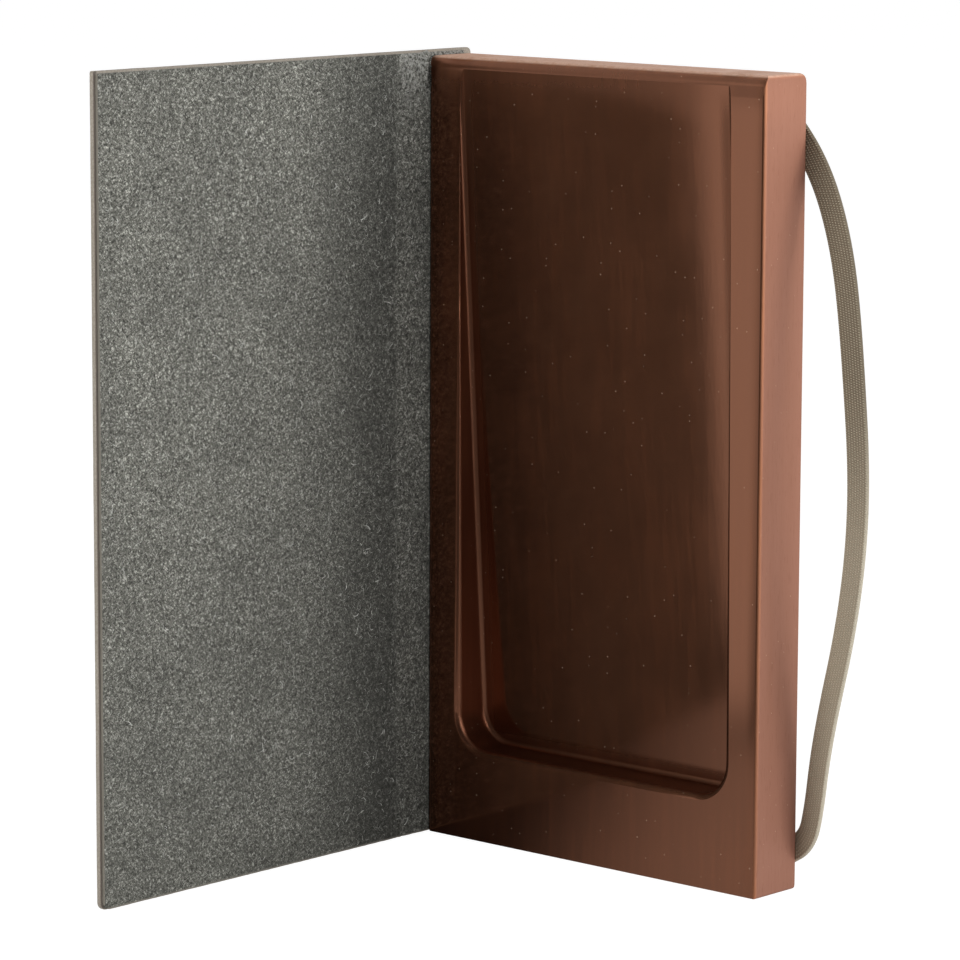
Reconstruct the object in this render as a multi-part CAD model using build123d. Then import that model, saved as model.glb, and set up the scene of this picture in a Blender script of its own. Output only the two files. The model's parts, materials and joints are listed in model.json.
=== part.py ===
"""Guest check presenter: a wooden tray block with a folding leather cover and an elastic closure.

Millimetres. The block stands upright: +Z up along its height, +X to the right along its front,
and its front faces -Y. The origin is the middle of the block's bottom face.
The cover is one folded sheet. Its spine strip is glued to the block's left side, and its panel
turns about the crease at the block's front-left edge. It is drawn standing open at a right angle.
"""

import os
from math import atan2, cos, degrees, radians, sin, tan

from build123d import *

# ---- Tray block
block_width = 110.0
block_height = 204.0
block_thickness = 16.5
plan_corner_radius = 0.9  # the four upright edges
top_corner_radius = 1.0  # the two top corners, seen from the front
bottom_corner_radius = 0.5
# The long edges are rounded by hand-sanded quarter ellipses: depth along Y, height along Z.
front_top_round = (1.7, 5.5)
back_top_round = (2.7, 5.2)
back_bottom_round = (1.3, 5.0)

# ---- Recess for the receipt, notes and coins: its floor slopes and runs out at the top
recess_side_border = 10.5
recess_foot_border = 24.0
recess_corner_radius = 9.0
recess_foot_depth = 10.9
floor_cove_radius = 1.2
rim_radius = 1.6
rim_flatness = 0.32  # where the rim's arc crosses its diagonal, as a share of rim_radius

# ---- Cover
cover_length = 118.0  # from the block's front-left edge to the free edge
cover_height = 205.4
skin_thickness = 1.4
lining_thickness = 0.6
lining_margin = 0.6  # how far the lining stops short of the skin's edge
lining_foot_margin = 0.15
cover_top_corner_radius = 0.5
cover_foot_corner_radius = 2.0
spine_top_corner_radius = 1.4
spine_lining_stop = 3.5  # the lining ends this far before the spine's back edge

# ---- Crease, about which the panel turns
cover_clearance = 0.3  # between the closed panel and the block's front
crease_running_gap = 0.3  # between the crease and the panel's edge
crease_thickness = 1.7  # the sheet is pressed thinner along the crease

# ---- Elastic closure: a flat band, one loop down the right side
band_width = 6.5
band_thickness = 1.2
band_standoff = 0.3  # between the block's back and the band
band_hinge_inset = 2.5  # from the block's right side to the line where the loop turns
band_hinge_gap = 0.3  # each side of that line
band_fold_height = 0.75  # from the band's middle to the line about which it folds back
# The band's middle line, from its upper anchor to its lower one. Each point is its distance beyond
# the block's right side, then its drop below the block's top or its rise above the block's foot.
band_upper_points = [
    (-11.7, 8.4),
    (-5.0, 13.3),
    (0.6, 19.9),
    (5.1, 27.5),
    (8.7, 36.8),
    (11.5, 47.7),
    (13.5, 61.5),
    (15.1, 77.0),
    (16.5, 92.5),
]
band_lower_points = [
    (16.8, 96.5),
    (15.6, 80.5),
    (12.8, 63.8),
    (8.9, 47.5),
    (6.2, 34.0),
    (4.6, 20.8),
    (2.6, 12.2),
    (-4.5, 8.0),
    (-12.3, 7.6),
]

# ---- Anchors: each end of the band lies in a pocket in the block's back, under a screw
pocket_radius = 4.9
pocket_depth = 3.0
band_tail = 3.2  # past the screw's middle
ramp_start = 4.0  # from the screw's middle to where the band starts to rise
ramp_angle = 50.0
band_side_clearance = 0.3
screw_head_radius = 3.5
screw_head_thickness = 1.5
screw_head_edge = 0.5
screw_shank_radius = 1.5
screw_length = 10.0
screw_tip_length = 2.5
cross_width = 0.9
cross_span = 3.6
cross_depth = 0.8

# ---- Worked out from the sizes above
front_y = -block_thickness / 2
back_y = block_thickness / 2
left_x = -block_width / 2
right_x = block_width / 2
cover_thickness = skin_thickness + lining_thickness
crease_x = left_x - cover_thickness / 2
crease_y = front_y - cover_thickness / 2 - cover_clearance
panel_near_y = crease_y - crease_thickness / 2 - crease_running_gap
panel_far_y = front_y - cover_length
# The panel's inner corner sweeps a circle about the crease, and the spine stays outside it.
corner_sweep = ((crease_y - panel_near_y) ** 2 + (cover_thickness / 2) ** 2) ** 0.5
spine_front_y = crease_y + corner_sweep + crease_running_gap
floor_slope = recess_foot_depth / (block_height - recess_foot_border)
recess_half_width = block_width / 2 - recess_side_border
band_route = [(right_x + out, block_height - drop) for out, drop in band_upper_points]
band_route += [(right_x + out, rise) for out, rise in band_lower_points]
band_hinge_x = right_x - band_hinge_inset
band_middle_y = back_y + band_standoff + band_thickness / 2
band_hinge_y = band_middle_y + band_fold_height
ramp_rise = pocket_depth + band_standoff
ramp_end = ramp_start + ramp_rise / tan(radians(ramp_angle))
outside = 20.0  # how far a cutting tool reaches past what it cuts

front_plane = Plane(origin=(0, front_y, 0), x_dir=(1, 0, 0), z_dir=(0, -1, 0))
side_plane = Plane.YZ


def quarter_ellipse(start, corner, end):
    """A quarter ellipse from start to end, tangent to the two sides that meet at corner."""
    pull = 0.5523
    near_start = Vector(*start) + (Vector(*corner) - Vector(*start)) * pull
    near_end = Vector(*end) + (Vector(*corner) - Vector(*end)) * pull
    return Bezier(start, near_start, near_end, end)


def block_side_outline():
    """The block seen from its side: Y across, Z up, with three of its four long edges rounded."""
    front_cut, front_drop = front_top_round
    back_cut, back_drop = back_top_round
    foot_cut, foot_rise = back_bottom_round
    foot_front = (front_y, 0)
    foot_back = (back_y - foot_cut, 0)
    back_low = (back_y, foot_rise)
    back_high = (back_y, block_height - back_drop)
    top_back = (back_y - back_cut, block_height)
    top_front = (front_y + front_cut, block_height)
    front_high = (front_y, block_height - front_drop)
    edges = [
        Line(foot_front, foot_back),
        quarter_ellipse(foot_back, (back_y, 0), back_low),
        Line(back_low, back_high),
        quarter_ellipse(back_high, (back_y, block_height), top_back),
        Line(top_back, top_front),
        quarter_ellipse(top_front, (front_y, block_height), front_high),
        Line(front_high, foot_front),
    ]
    return make_face(edges)


def solid_block():
    """The block before it is hollowed: what its side, front and plan outlines have in common."""
    side = extrude(side_plane * block_side_outline(), block_width / 2, both=True)
    front = Pos(0, block_height / 2) * Rectangle(block_width, block_height)
    top_corners = front.vertices().group_by(Axis.Y)[-1]
    front = fillet(top_corners, top_corner_radius)
    foot_corners = front.vertices().group_by(Axis.Y)[0]
    front = fillet(foot_corners, bottom_corner_radius)
    front = extrude(Plane.XZ * front, block_thickness, both=True)
    plan = RectangleRounded(block_width, block_thickness, plan_corner_radius)
    return side & front & extrude(plan, block_height)


def rim_profile():
    """What the rounding takes off the recess's rim: u away from its wall, v out of the front."""
    flat = rim_flatness * rim_radius
    overlap = rim_radius / 3
    edges = [
        Line((0, -rim_radius), (-overlap, -rim_radius)),
        Line((-overlap, -rim_radius), (-overlap, overlap)),
        Line((-overlap, overlap), (rim_radius, overlap)),
        Line((rim_radius, overlap), (rim_radius, 0)),
        ThreePointArc((rim_radius, 0), (flat, -flat), (0, -rim_radius)),
    ]
    return make_face(edges)


def rim_cutters():
    """Cutters for the rim: along the foot, round its two corners, and up both sides to nothing."""
    foot_run = recess_half_width - recess_corner_radius
    corner_z = recess_foot_border + recess_corner_radius
    fade_z = block_height - floor_cove_radius / floor_slope
    foot = Plane((foot_run, front_y, recess_foot_border), x_dir=(0, 0, -1), z_dir=(-1, 0, 0))
    cutters = [extrude(foot * rim_profile(), 2 * foot_run)]
    for side in (-1, 1):
        wall_x = side * recess_half_width
        level = Plane((wall_x, front_y, corner_z), x_dir=(side, 0, 0), z_dir=(0, 0, -side))
        profile = level * rim_profile()
        turn = Axis((side * foot_run, front_y, corner_z), (0, side, 0))
        cutters.append(revolve(profile, turn, 90))
        cutters.append(loft([profile.face(), Vertex(wall_x, front_y, fade_z)], ruled=True))
    return cutters


def recess_cutter():
    """The recess: a rounded pocket from the front whose floor slopes out to the block's top edge."""
    top_z = block_height + outside
    height = top_z - recess_foot_border
    plan = RectangleRounded(2 * recess_half_width, height, recess_corner_radius)
    plan = front_plane.offset(outside) * (Pos(0, recess_foot_border + height / 2) * plan)
    pocket = extrude(plan, -(outside + block_thickness))
    low_z = recess_foot_border - outside
    high_z = top_z + outside
    slope = Polyline(
        (front_y - 2 * outside, low_z),
        (front_y + floor_slope * (block_height - low_z), low_z),
        (front_y + floor_slope * (block_height - high_z), high_z),
        (front_y - 2 * outside, high_z),
        close=True,
    )
    pocket = pocket & extrude(side_plane * make_face(slope), block_width, both=True)
    floor = pocket.faces().sort_by(Axis.Y)[-1]
    return fillet(floor.edges(), floor_cove_radius)


def anchors():
    """The band's two screw places: where each is, and the angle at which the band leaves it."""
    places = []
    for (x, z), (next_x, next_z) in (band_route[:2], band_route[:-3:-1]):
        places.append((x, z, degrees(atan2(next_z - z, next_x - x))))
    return places


def along_band(x, z, angle):
    """A plane through a screw's axis: its x along the band as it leaves, its y out of the back."""
    run = (cos(radians(angle)), 0, sin(radians(angle)))
    across = (-sin(radians(angle)), 0, cos(radians(angle)))
    return Plane(origin=(x, back_y, z), x_dir=run, z_dir=across)


def on_back(x, z):
    """A plane on the block's back with its normal pointing out of the back."""
    return Plane(origin=(x, back_y, z), x_dir=(-1, 0, 0), z_dir=(0, 1, 0))


def pocket_cutter(x, z, angle):
    """A round pocket for the screw's head, and a ramp by which the band comes out of it."""
    round_part = extrude(on_back(x, z) * Circle(pocket_radius), -pocket_depth)
    round_part += extrude(on_back(x, z) * Circle(pocket_radius), outside / 2)
    ramp_out = outside / 2 / tan(radians(ramp_angle))
    ramp_foot = pocket_depth / tan(radians(ramp_angle))
    outline = Polyline(
        (0, -pocket_depth),
        (ramp_start, -pocket_depth),
        (ramp_start + ramp_foot + ramp_out, outside / 2),
        (0, outside / 2),
        close=True,
    )
    half_width = band_width / 2 + band_side_clearance
    ramp = extrude(along_band(x, z, angle) * make_face(outline), half_width, both=True)
    return round_part + ramp


def tray_block():
    """The wooden block, hollowed from the front and drilled at its back for the two screws."""
    block = solid_block() - recess_cutter()
    for cutter in rim_cutters():
        block = block - cutter
    for x, z, angle in anchors():
        block = block - pocket_cutter(x, z, angle)
        block = block - screw_shank(x, z)
    return block


def cover_sheet(near_y, far_y, foot_z, top_z, outer_x, thickness):
    """An upright sheet between two Y places, with its outer face at outer_x."""
    outline = Pos((near_y + far_y) / 2, (foot_z + top_z) / 2) * Rectangle(
        abs(near_y - far_y), top_z - foot_z
    )
    return extrude(Plane.YZ.offset(outer_x) * outline, thickness)


def round_corner(sheet, y, z, radius):
    """Rounds the corner of an upright sheet that is nearest to the place y, z."""
    corners = sheet.edges().filter_by(Axis.X)
    nearest = corners.sort_by(lambda edge: (edge.center() - Vector(edge.center().X, y, z)).length)
    return fillet(nearest[0], radius)


def panel_skin():
    """The outer sheet of the panel, from the crease to the free edge."""
    outer_x = left_x - cover_thickness
    sheet = cover_sheet(panel_near_y, panel_far_y, 0, cover_height, outer_x, skin_thickness)
    sheet = round_corner(sheet, panel_far_y, cover_height, cover_top_corner_radius)
    return round_corner(sheet, panel_far_y, 0, cover_foot_corner_radius)


def panel_lining():
    """The fibre lining on the panel's inner face, set in a little from the skin's edges."""
    far_y = panel_far_y + lining_margin
    top_z = cover_height - lining_margin
    outer_x = left_x - lining_thickness
    sheet = cover_sheet(panel_near_y, far_y, lining_foot_margin, top_z, outer_x, lining_thickness)
    return round_corner(sheet, far_y, lining_foot_margin, cover_foot_corner_radius)


def spine_skin():
    """The outer sheet down the block's left side, with the crease pressed along its front edge."""
    outer_x = left_x - cover_thickness
    sheet = cover_sheet(spine_front_y, back_y, 0, cover_height, outer_x, skin_thickness)
    sheet = round_corner(sheet, back_y, cover_height, spine_top_corner_radius)
    neck = cover_sheet(
        crease_y,
        spine_front_y + skin_thickness,
        0,
        cover_height,
        crease_x - crease_thickness / 2,
        min(crease_thickness, (cover_thickness + crease_thickness) / 2 - lining_thickness),
    )
    bead = extrude(Pos(crease_x, crease_y) * Circle(crease_thickness / 2), cover_height)
    return sheet + neck + bead


def spine_lining():
    """The lining between the spine strip and the block, which glues one to the other."""
    return cover_sheet(
        spine_front_y,
        back_y - spine_lining_stop,
        lining_foot_margin,
        cover_height - lining_margin,
        left_x - lining_thickness,
        lining_thickness,
    )


def route_radii():
    """The bend radius at each inner point of the band's route: 0.45 of the shorter run."""
    radii = []
    for before, here, after in zip(band_route, band_route[1:], band_route[2:]):
        arriving = Vector(*here) - Vector(*before)
        leaving = Vector(*after) - Vector(*here)
        turn = radians(arriving.get_angle(leaving))
        radii.append(0.45 * min(arriving.length, leaving.length) / tan(turn / 2))
    return radii


def band_slab():
    """The whole band as it lies flat, one standoff behind the block's back face."""
    route = FilletPolyline(band_route, radius=route_radii())
    outline = trace(route, band_width)
    plane = Plane(origin=(0, back_y + band_standoff, 0), x_dir=(1, 0, 0), z_dir=(0, -1, 0))
    return extrude(plane * outline, -band_thickness), route.length


def beyond(x, side):
    """A large box on one side of the upright plane at x: side is 1 to its right and -1 to its left."""
    depth = block_thickness + 2 * outside
    return Pos(x + side * block_width / 2, 0, block_height / 2) * Box(
        block_width, depth, block_height + 2 * outside
    )


def elastic_loop(slab):
    """The free loop of the band, outside the line about which it turns."""
    return slab & beyond(band_hinge_x + band_hinge_gap, 1)


def elastic_tab(slab, x, z, angle):
    """One fixed end of the band: flat under the screw, up the ramp and out to the loop."""
    lift = band_thickness * tan(radians(ramp_angle / 2))
    outline = Polyline(
        (-band_tail, -pocket_depth),
        (ramp_start, -pocket_depth),
        (ramp_end, band_standoff),
        (ramp_end + band_thickness, band_standoff),
        (ramp_end + band_thickness, band_standoff + band_thickness),
        (ramp_end - lift, band_standoff + band_thickness),
        (ramp_start - lift, -pocket_depth + band_thickness),
        (-band_tail, -pocket_depth + band_thickness),
        close=True,
    )
    plane = along_band(x, z, angle)
    tab = extrude(plane * make_face(outline), band_width / 2, both=True)
    flat_part = Pos(ramp_end + outside, 0, 0) * Box(2 * outside, 2 * outside, 2 * outside)
    tab = tab + (slab & (plane.location * flat_part))
    tab = tab & beyond(band_hinge_x - band_hinge_gap, -1)
    return tab - screw_shank(x, z)


def screw_shank(x, z):
    """The screw's shank: a plain cylinder with a cone for its tip."""
    half = Polyline(
        (0, -pocket_depth + band_thickness),
        (screw_shank_radius, -pocket_depth + band_thickness),
        (screw_shank_radius, -screw_length + screw_tip_length),
        (0, -screw_length),
        close=True,
    )
    section = Plane(origin=(x, back_y, z), x_dir=(1, 0, 0), z_dir=(0, 0, 1))
    return revolve(section * make_face(half), Axis((x, back_y, z), (0, 1, 0)))


def elastic_screw(x, z):
    """A pan-head screw that holds one end of the band at the bottom of its pocket."""
    seat = -pocket_depth + band_thickness
    rise = screw_head_thickness - screw_head_edge
    half = make_face(
        [
            Line((0, seat), (screw_head_radius, seat)),
            Line((screw_head_radius, seat), (screw_head_radius, seat + screw_head_edge)),
            quarter_ellipse(
                (screw_head_radius, seat + screw_head_edge),
                (screw_head_radius, seat + screw_head_edge + rise),
                (0, seat + screw_head_thickness),
            ),
            Line((0, seat + screw_head_thickness), (0, seat)),
        ]
    )
    section = Plane(origin=(x, back_y, z), x_dir=(1, 0, 0), z_dir=(0, 0, 1))
    head = revolve(section * half, Axis((x, back_y, z), (0, 1, 0)))
    top = on_back(x, z).offset(seat + screw_head_thickness - cross_depth)
    cross = Rectangle(cross_span, cross_width) + Rectangle(cross_width, cross_span)
    return head - extrude(top * cross, outside) + screw_shank(x, z)


def print_route(slab, length):
    """Reports the band's length, its bend radii and how near its solid is to section times length."""
    print(f"band length {length:.1f} mm")
    print("bend radii", [round(radius, 1) for radius in route_radii()])
    print(f"solid over section times length {slab.volume / (band_width * band_thickness * length):.4f}")
    print(f"crease {crease_x:.3f} {crease_y:.3f}, band hinge {band_hinge_x:.3f} {band_hinge_y:.3f}")


def build():
    """Every node's solid by name."""
    slab, length = band_slab()
    print_route(slab, length)
    upper, lower = anchors()
    return {
        "tray_block": tray_block(),
        "spine_skin": spine_skin(),
        "spine_lining": spine_lining(),
        "panel_skin": panel_skin(),
        "panel_lining": panel_lining(),
        "elastic_loop": elastic_loop(slab),
        "elastic_tab_top": elastic_tab(slab, *upper),
        "elastic_tab_bottom": elastic_tab(slab, *lower),
        "elastic_screw_top": elastic_screw(*upper[:2]),
        "elastic_screw_bottom": elastic_screw(*lower[:2]),
    }


os.makedirs("parts", exist_ok=True)
for node, solid in build().items():
    export_step(solid, f"parts/{node}.step")
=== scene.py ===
# %% [markdown]
# # A guest check presenter
#
# A waiter brings the bill in this: a block of stained wood with a sloped recess, a leather cover
# that folds over it, and a flat elastic that holds the cover shut. The wooden block and its two
# screws come ready made from the CAD model. This lesson adds what is soft, the elastic, the
# leather and its fibre lining, then gives each piece its finish, and lights it.

import json
import math

import bpy
from mathutils import Matrix, Vector

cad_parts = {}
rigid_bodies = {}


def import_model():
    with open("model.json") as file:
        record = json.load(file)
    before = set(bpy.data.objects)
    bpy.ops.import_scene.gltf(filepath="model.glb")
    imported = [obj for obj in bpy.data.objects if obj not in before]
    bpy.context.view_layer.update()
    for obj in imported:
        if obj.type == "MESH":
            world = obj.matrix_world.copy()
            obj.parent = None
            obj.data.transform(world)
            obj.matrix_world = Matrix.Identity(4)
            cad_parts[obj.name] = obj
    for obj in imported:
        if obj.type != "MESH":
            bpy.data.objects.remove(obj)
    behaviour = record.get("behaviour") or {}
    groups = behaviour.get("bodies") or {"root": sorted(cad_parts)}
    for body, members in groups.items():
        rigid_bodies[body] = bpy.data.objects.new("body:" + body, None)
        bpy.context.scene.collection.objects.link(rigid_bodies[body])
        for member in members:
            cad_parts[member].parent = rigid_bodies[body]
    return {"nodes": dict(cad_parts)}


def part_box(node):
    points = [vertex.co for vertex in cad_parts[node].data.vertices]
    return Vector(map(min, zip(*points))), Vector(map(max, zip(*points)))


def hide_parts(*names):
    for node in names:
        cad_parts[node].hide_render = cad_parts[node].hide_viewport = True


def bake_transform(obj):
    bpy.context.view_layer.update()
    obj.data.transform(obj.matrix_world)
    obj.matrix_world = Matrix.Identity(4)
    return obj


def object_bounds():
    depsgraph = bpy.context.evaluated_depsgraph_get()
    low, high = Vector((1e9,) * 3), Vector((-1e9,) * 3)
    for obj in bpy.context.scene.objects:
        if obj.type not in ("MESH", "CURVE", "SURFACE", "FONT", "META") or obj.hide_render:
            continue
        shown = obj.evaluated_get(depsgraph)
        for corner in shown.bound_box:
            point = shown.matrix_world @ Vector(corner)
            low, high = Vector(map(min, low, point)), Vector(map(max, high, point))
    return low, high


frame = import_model()
cad_low, cad_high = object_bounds()
block_low, block_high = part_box("tray_block")
print("block", [round(size * 1000, 1) for size in block_high - block_low], "mm")

# %% [markdown]
# ## The camera
#
# The camera comes first, because everything is judged through it. It is a long lens, far away and
# a little above, so that upright edges stay nearly parallel. It turns about three things: the
# compass direction, the tilt down, and a trace of roll.

# %% Place the camera
LENS = 0.1727
SENSOR = 0.036
CAMERA_PLACE = Vector((0.74605, -0.88262, 0.27908))
CAMERA_TURN = math.radians(41.85)
CAMERA_TILT = math.radians(8.89)
CAMERA_ROLL = math.radians(0.229)

bpy.ops.object.select_all(action="DESELECT")
bpy.ops.object.camera_add(location=CAMERA_PLACE)
camera = bpy.context.active_object
camera.name = "studio_camera"
camera.data.lens = LENS * 1000
camera.data.sensor_width = SENSOR * 1000
camera.data.clip_start = 0.05
camera.data.clip_end = 30
camera.rotation_euler = (
    Matrix.Rotation(CAMERA_TURN, 4, "Z")
    @ Matrix.Rotation(math.radians(90) - CAMERA_TILT, 4, "X")
    @ Matrix.Rotation(CAMERA_ROLL, 4, "Z")
).to_euler()
bpy.context.scene.camera = camera
print("camera looks at the block from", round(CAMERA_PLACE.length, 2), "m")

# %% [markdown]
# ## The elastic band
#
# The band is a flat braid 6.5 mm wide and 1.2 mm thick. Each end lies at the bottom of a round
# pocket in the block's back, under a screw, climbs a short ramp, and runs out behind the block's
# right side in one long loop. A smooth NURBS spline gives its middle line. The control points are
# listed, and the spline passes near them in one even curve, as a springy band does.

# %% Set out the band's middle line
BAND_WIDTH = 0.0065
BAND_THICKNESS = 0.0012
band_route = [
    (0.0407, 0.00585, 0.1975),  # its upper end, on the pocket's floor
    (0.0463, 0.00585, 0.1934),
    (0.0484, 0.00935, 0.1919),
    (0.0500, 0.00915, 0.1907),
    (0.0556, 0.00915, 0.1841),
    (0.0601, 0.00915, 0.1765),
    (0.0637, 0.00915, 0.1672),
    (0.0665, 0.00915, 0.1563),
    (0.0685, 0.00915, 0.1425),
    (0.0701, 0.00915, 0.1270),
    (0.0715, 0.00915, 0.1115),
    (0.0718, 0.00915, 0.0965),
    (0.0706, 0.00915, 0.0805),
    (0.0678, 0.00915, 0.0638),
    (0.0639, 0.00915, 0.0475),
    (0.0612, 0.00915, 0.0340),
    (0.0596, 0.00915, 0.0208),
    (0.0576, 0.00915, 0.0122),
    (0.0505, 0.00915, 0.0080),
    (0.0490, 0.00935, 0.0079),
    (0.0464, 0.00585, 0.0078),
    (0.0395, 0.00585, 0.0074),  # its lower end
]


def spline_points(points, steps):
    """The points along a smooth spline with these control points."""
    line = bpy.data.curves.new("band_line", "CURVE")
    line.dimensions = "3D"
    line.resolution_u = steps
    spline = line.splines.new("NURBS")
    spline.points.add(len(points) - 1)
    for point, place in zip(spline.points, points):
        point.co = (*place, 1)
    spline.order_u = 3
    spline.use_endpoint_u = True
    holder = bpy.data.objects.new("band_line", line)
    bpy.context.scene.collection.objects.link(holder)
    bpy.context.view_layer.update()
    drawn = bpy.data.meshes.new_from_object(holder)
    found = [vertex.co.copy() for vertex in drawn.vertices]
    bpy.data.objects.remove(holder)
    bpy.data.meshes.remove(drawn)
    return found


band_line = spline_points(band_route, 12)
band_length = sum((b - a).length for a, b in zip(band_line, band_line[1:]))
print("band", len(band_line), "points,", round(band_length * 1000, 1), "mm long")

# %% [markdown]
# A braided elastic has ribs along it, where the rubber cords lie inside. So the band's section is
# drawn once, with its ribs and its rounded sides, and is carried along the line. At each point the
# section stands square to the line, with its width in the plane of the loop, and it twists a
# little on its way down. Its UV map is in millimetres, across and along, for the stitches later.

# %% Carry the ribbed section along the line
RIBS = 8
RIB_HEIGHT = 0.00006
STEPS_PER_RIB = 4
SHOULDER_START = 0.86  # where the section starts to round off, as a share of the half width
SHOULDER_DROP = 0.75  # how much of the thickness it loses by its sides
UPPER_TWIST = math.radians(-8)
LOWER_TWIST = math.radians(12)
TWIST_LENGTH = 0.02


def band_section():
    """The section as (across, out) places in metres, once round it from its outer side."""
    half_width = BAND_WIDTH / 2
    half_thickness = BAND_THICKNESS / 2
    steps = RIBS * STEPS_PER_RIB
    face = []
    for step in range(steps + 1):
        across = step / steps * 2 - 1
        rib = 0.5 - 0.5 * math.cos(step / STEPS_PER_RIB * 2 * math.pi)
        shoulder = max(0.0, abs(across) - SHOULDER_START) / (1 - SHOULDER_START)
        rounded = half_thickness * math.sqrt(1 - SHOULDER_DROP * shoulder**2)
        out = rounded - RIB_HEIGHT * (1 - rib)
        face.append((across * half_width, out))
    return face + [(across, -out) for across, out in reversed(face)]


def lengths_along(line):
    """How far along the line each of its points lies."""
    travelled = [0.0]
    for before, here in zip(line, line[1:]):
        travelled.append(travelled[-1] + (here - before).length)
    return travelled


def ribbed_band(name, line):
    """The band's mesh along the line, with its UV map."""
    section = band_section()
    verts, faces, uvs = [], [], []
    travelled = lengths_along(line)
    whole = travelled[-1]
    for index, here in enumerate(line):
        ahead = line[min(index + 1, len(line) - 1)] - line[max(index - 1, 0)]
        along = ahead.normalized()
        width_way = Vector((0, 1, 0)).cross(along).normalized()
        gone = travelled[index]
        loose = min(1.0, gone / TWIST_LENGTH, (whole - gone) / TWIST_LENGTH)
        twist = loose * (UPPER_TWIST + (LOWER_TWIST - UPPER_TWIST) * gone / whole)
        width_way = Matrix.Rotation(twist, 3, along) @ width_way
        out_way = along.cross(width_way)
        for across, out in section:
            verts.append(here + width_way * across + out_way * out)
    count = len(section)
    for ring in range(len(line) - 1):
        for side in range(count):
            ahead = (side + 1) % count
            low, high = ring * count, (ring + 1) * count
            faces.append((low + side, low + ahead, high + ahead, high + side))
            for corner, row in ((side, ring), (ahead, ring), (ahead, ring + 1), (side, ring + 1)):
                uvs.append((section[corner][0] * 1000, travelled[row] * 1000))
    for start, gone in ((0, 0.0), (len(verts) - count, whole)):
        faces.append(tuple(start + side for side in range(count)))
        uvs += [(across * 1000, gone * 1000) for across, out in section]
    mesh = bpy.data.meshes.new(name)
    mesh.from_pydata(verts, [], faces)
    layer = mesh.uv_layers.new(name="stitches")
    layer.data.foreach_set("uv", [value for uv in uvs for value in uv])
    band = bpy.data.objects.new(name, mesh)
    bpy.context.scene.collection.objects.link(band)
    return band


def alone(piece):
    """Makes this the active piece, and the only one that is selected."""
    bpy.ops.object.select_all(action="DESELECT")
    bpy.context.view_layer.objects.active = piece
    piece.select_set(True)


def face_outwards(piece):
    """Turns every face of a closed piece outwards."""
    alone(piece)
    bpy.ops.object.mode_set(mode="EDIT")
    bpy.ops.mesh.select_all(action="SELECT")
    bpy.ops.mesh.normals_make_consistent(inside=False)
    bpy.ops.object.mode_set(mode="OBJECT")


def shade_soft(piece, angle):
    """Shades the piece smooth, with edges sharper than the angle left crisp."""
    alone(piece)
    bpy.ops.object.shade_smooth_by_angle(angle=math.radians(angle))


elastic_band = ribbed_band("elastic_band", band_line)
face_outwards(elastic_band)
shade_soft(elastic_band, angle=60)
print("band faces", len(elastic_band.data.polygons))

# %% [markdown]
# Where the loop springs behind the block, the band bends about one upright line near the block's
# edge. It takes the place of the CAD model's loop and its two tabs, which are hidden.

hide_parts("elastic_loop", "elastic_tab_top", "elastic_tab_bottom")
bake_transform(elastic_band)

# %% [markdown]
# ## The cover's leather
#
# The cover is one sheet of leather 1.4 mm thick. It is glued to the block's left side and folds
# along an upright crease at the block's front corner. It starts as a box of the sheet's size,
# and is cut across at many places, close together at the crease, so that it has enough points
# there to bend.

# %% Set out the sheets, with helpers that start one
SHEET_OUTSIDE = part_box("panel_skin")[0].x
SKIN_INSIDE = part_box("panel_skin")[1].x
LINING_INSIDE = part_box("panel_lining")[1].x
FOLD_Y = -0.00955  # where the sheets turn
FOLD_ZONE = 0.0024  # how far the close cuts go to each side
PRESSED_Y = -0.0200  # the line pressed into the lining
SHARP_ANGLE = 50  # degrees: sheet edges sharper than this stay crisp


def select_nothing_in(piece):
    """Leaves this piece active, in object mode, with none of its points selected."""
    alone(piece)
    bpy.ops.object.mode_set(mode="EDIT")
    bpy.ops.mesh.select_mode(type="VERT")
    bpy.ops.mesh.select_all(action="DESELECT")
    bpy.ops.object.mode_set(mode="OBJECT")


def pick(piece, rule):
    """Goes into edit mode with the points that pass the rule selected, and what they bound."""
    select_nothing_in(piece)
    for vertex in piece.data.vertices:
        vertex.select = rule(vertex.co)
    for edge in piece.data.edges:
        edge.select = all(piece.data.vertices[v].select for v in edge.vertices)
    for face in piece.data.polygons:
        face.select = all(piece.data.vertices[v].select for v in face.vertices)
    bpy.ops.object.mode_set(mode="EDIT")


def box_between(name, low, high):
    """A box between two corners, with its place in its mesh, to start a piece from."""
    low, high = Vector(low), Vector(high)
    bpy.ops.object.select_all(action="DESELECT")
    bpy.ops.mesh.primitive_cube_add(size=1, location=(low + high) / 2)
    piece = bpy.context.active_object
    piece.name = name
    piece.data.name = name
    bpy.ops.transform.resize(value=high - low)
    bpy.ops.object.transform_apply(location=True, rotation=True, scale=True)
    return piece


# %% [markdown]
# A sheet's corner is rounded by a bevel on the one edge that runs through it there. Each cut across
# is a bisect, which adds a row of points and changes nothing else. Once a sheet has its shape, the
# places of its points, with the cover open, are stored for the finish.

# %% Helpers that cut and shape a sheet


def round_sheet_corner(piece, y, z, radius):
    """Rounds the one corner of a sheet that is nearest to a place, seen along X."""
    near = min((abs(v.co.y - y) + abs(v.co.z - z)) for v in piece.data.vertices)
    pick(piece, lambda place: abs(place.y - y) + abs(place.z - z) < near + 1e-5)
    bpy.ops.mesh.bevel(offset=radius, segments=6, affect="EDGES", clamp_overlap=False)
    bpy.ops.object.mode_set(mode="OBJECT")


def cut_across(piece, places, axis):
    """Cuts the sheet across at each place along an axis."""
    normal = Vector((0, 1, 0)) if axis == "Y" else Vector((0, 0, 1))
    select_nothing_in(piece)
    bpy.ops.object.mode_set(mode="EDIT")
    for place in places:
        bpy.ops.mesh.select_all(action="SELECT")
        bpy.ops.mesh.bisect(plane_co=normal * place, plane_no=normal)
    bpy.ops.object.mode_set(mode="OBJECT")


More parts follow.
